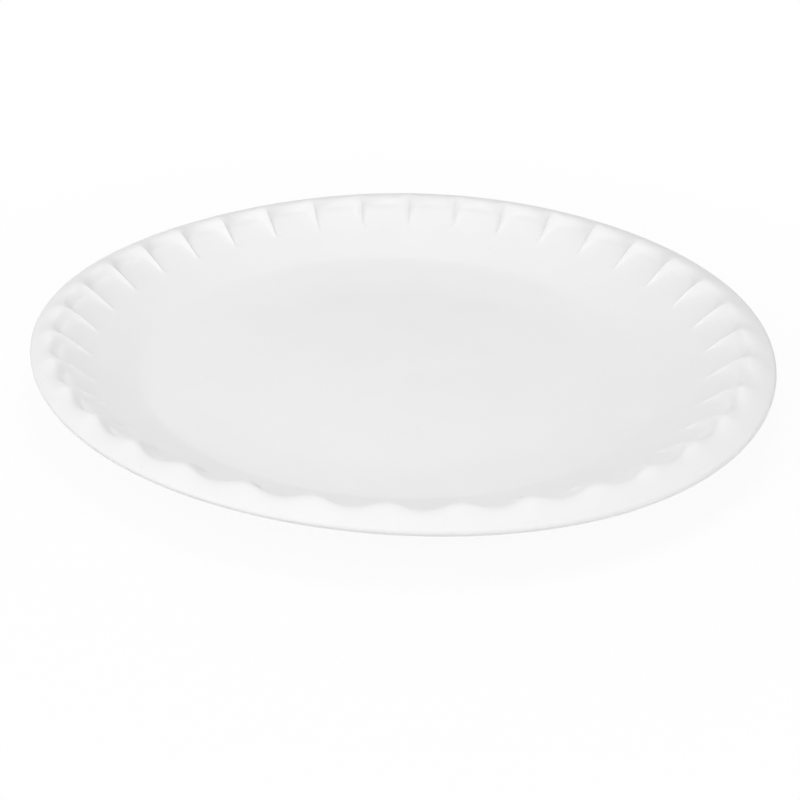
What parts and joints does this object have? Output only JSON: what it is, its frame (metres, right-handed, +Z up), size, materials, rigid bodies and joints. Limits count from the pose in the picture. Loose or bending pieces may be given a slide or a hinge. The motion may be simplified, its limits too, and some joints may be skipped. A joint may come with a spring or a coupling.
{
  "type": "foam plate",
  "caption": "Round disposable foam dinner plate: flat floor, sloping wall, and a fluted rim that rolls over into a narrow flange.",
  "frame": {"origin": "centre of the trimmed edge, on the plane that the flat underside stands on", "axes": "+Z up; +X to the right and +Y away when the plate is seen from its front"},
  "size_m": [0.2256, 0.2256, 0.0206],
  "materials": {
    "foam_skin": "white expanded polystyrene with a soft satin skin"
  },
  "bodies": {
    "root": {"plate": "foam_skin"}
  },
  "joints": []
}
